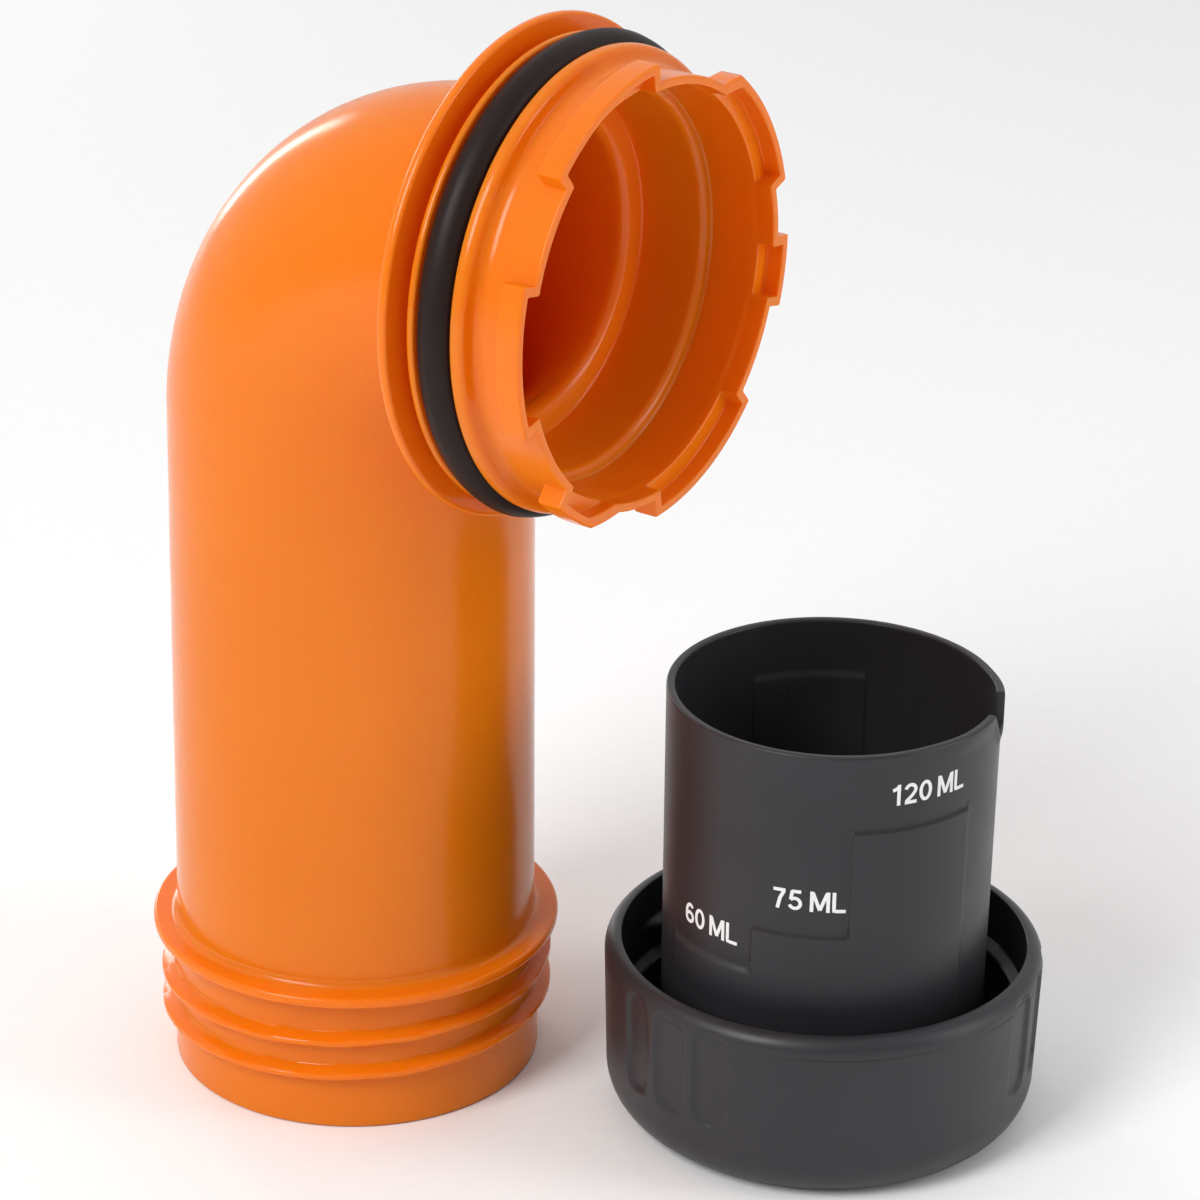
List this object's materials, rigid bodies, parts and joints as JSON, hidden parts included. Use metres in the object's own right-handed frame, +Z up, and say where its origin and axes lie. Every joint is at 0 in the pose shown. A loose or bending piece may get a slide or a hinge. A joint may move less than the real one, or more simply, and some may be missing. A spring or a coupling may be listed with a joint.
{
  "type": "elbow pour-out spout",
  "caption": "Right-angle pour-out tube with a toothed tank collar, a sealing ring and a threaded mouth, beside its screw cap, which holds an upright measuring cup.",
  "frame": {"origin": "on the floor that the mouth and the cap stand on, in the middle of the whole set's bounding box", "axes": "+Z up along the tube and the cap; +X along the collar's axis, out of the collar's toothed front"},
  "size_m": [0.1507, 0.1098, 0.1939],
  "materials": {
    "orange_moulding": "smooth glossy orange plastic with a faint moulding grain",
    "ring_rubber": "satin black-brown rubber with a fine moulding line",
    "cap_moulding": "dark grey plastic with a satin sheen",
    "cup_moulding": "dark grey plastic with a satin sheen and white printed volume marks",
    "seal_rubber": "dull black rubber"
  },
  "bodies": {
    "spout_body": {"spout": "orange_moulding", "tank_seal_ring": "ring_rubber"},
    "cap_lift": {"cap_seal": "seal_rubber"},
    "cap": {"screw_cap": "cap_moulding", "measuring_cup": "cup_moulding"}
  },
  "joints": [
    {"name": "cap_travel", "type": "slide", "parent": "spout_body", "child": "cap_lift", "axis": [0, 0, 1], "range_m": [0, 0.0131]},
    {"name": "cap_turn", "type": "hinge", "parent": "cap_lift", "child": "cap", "pos_m": [0.03765, 0.01715, 0], "axis": [0, 0, 1], "range_deg": [0, 720]}
  ],
  "couplings": [
    {"joint": "cap_travel", "follows": "cap_turn", "m_per_rad": 0.0010345}
  ]
}
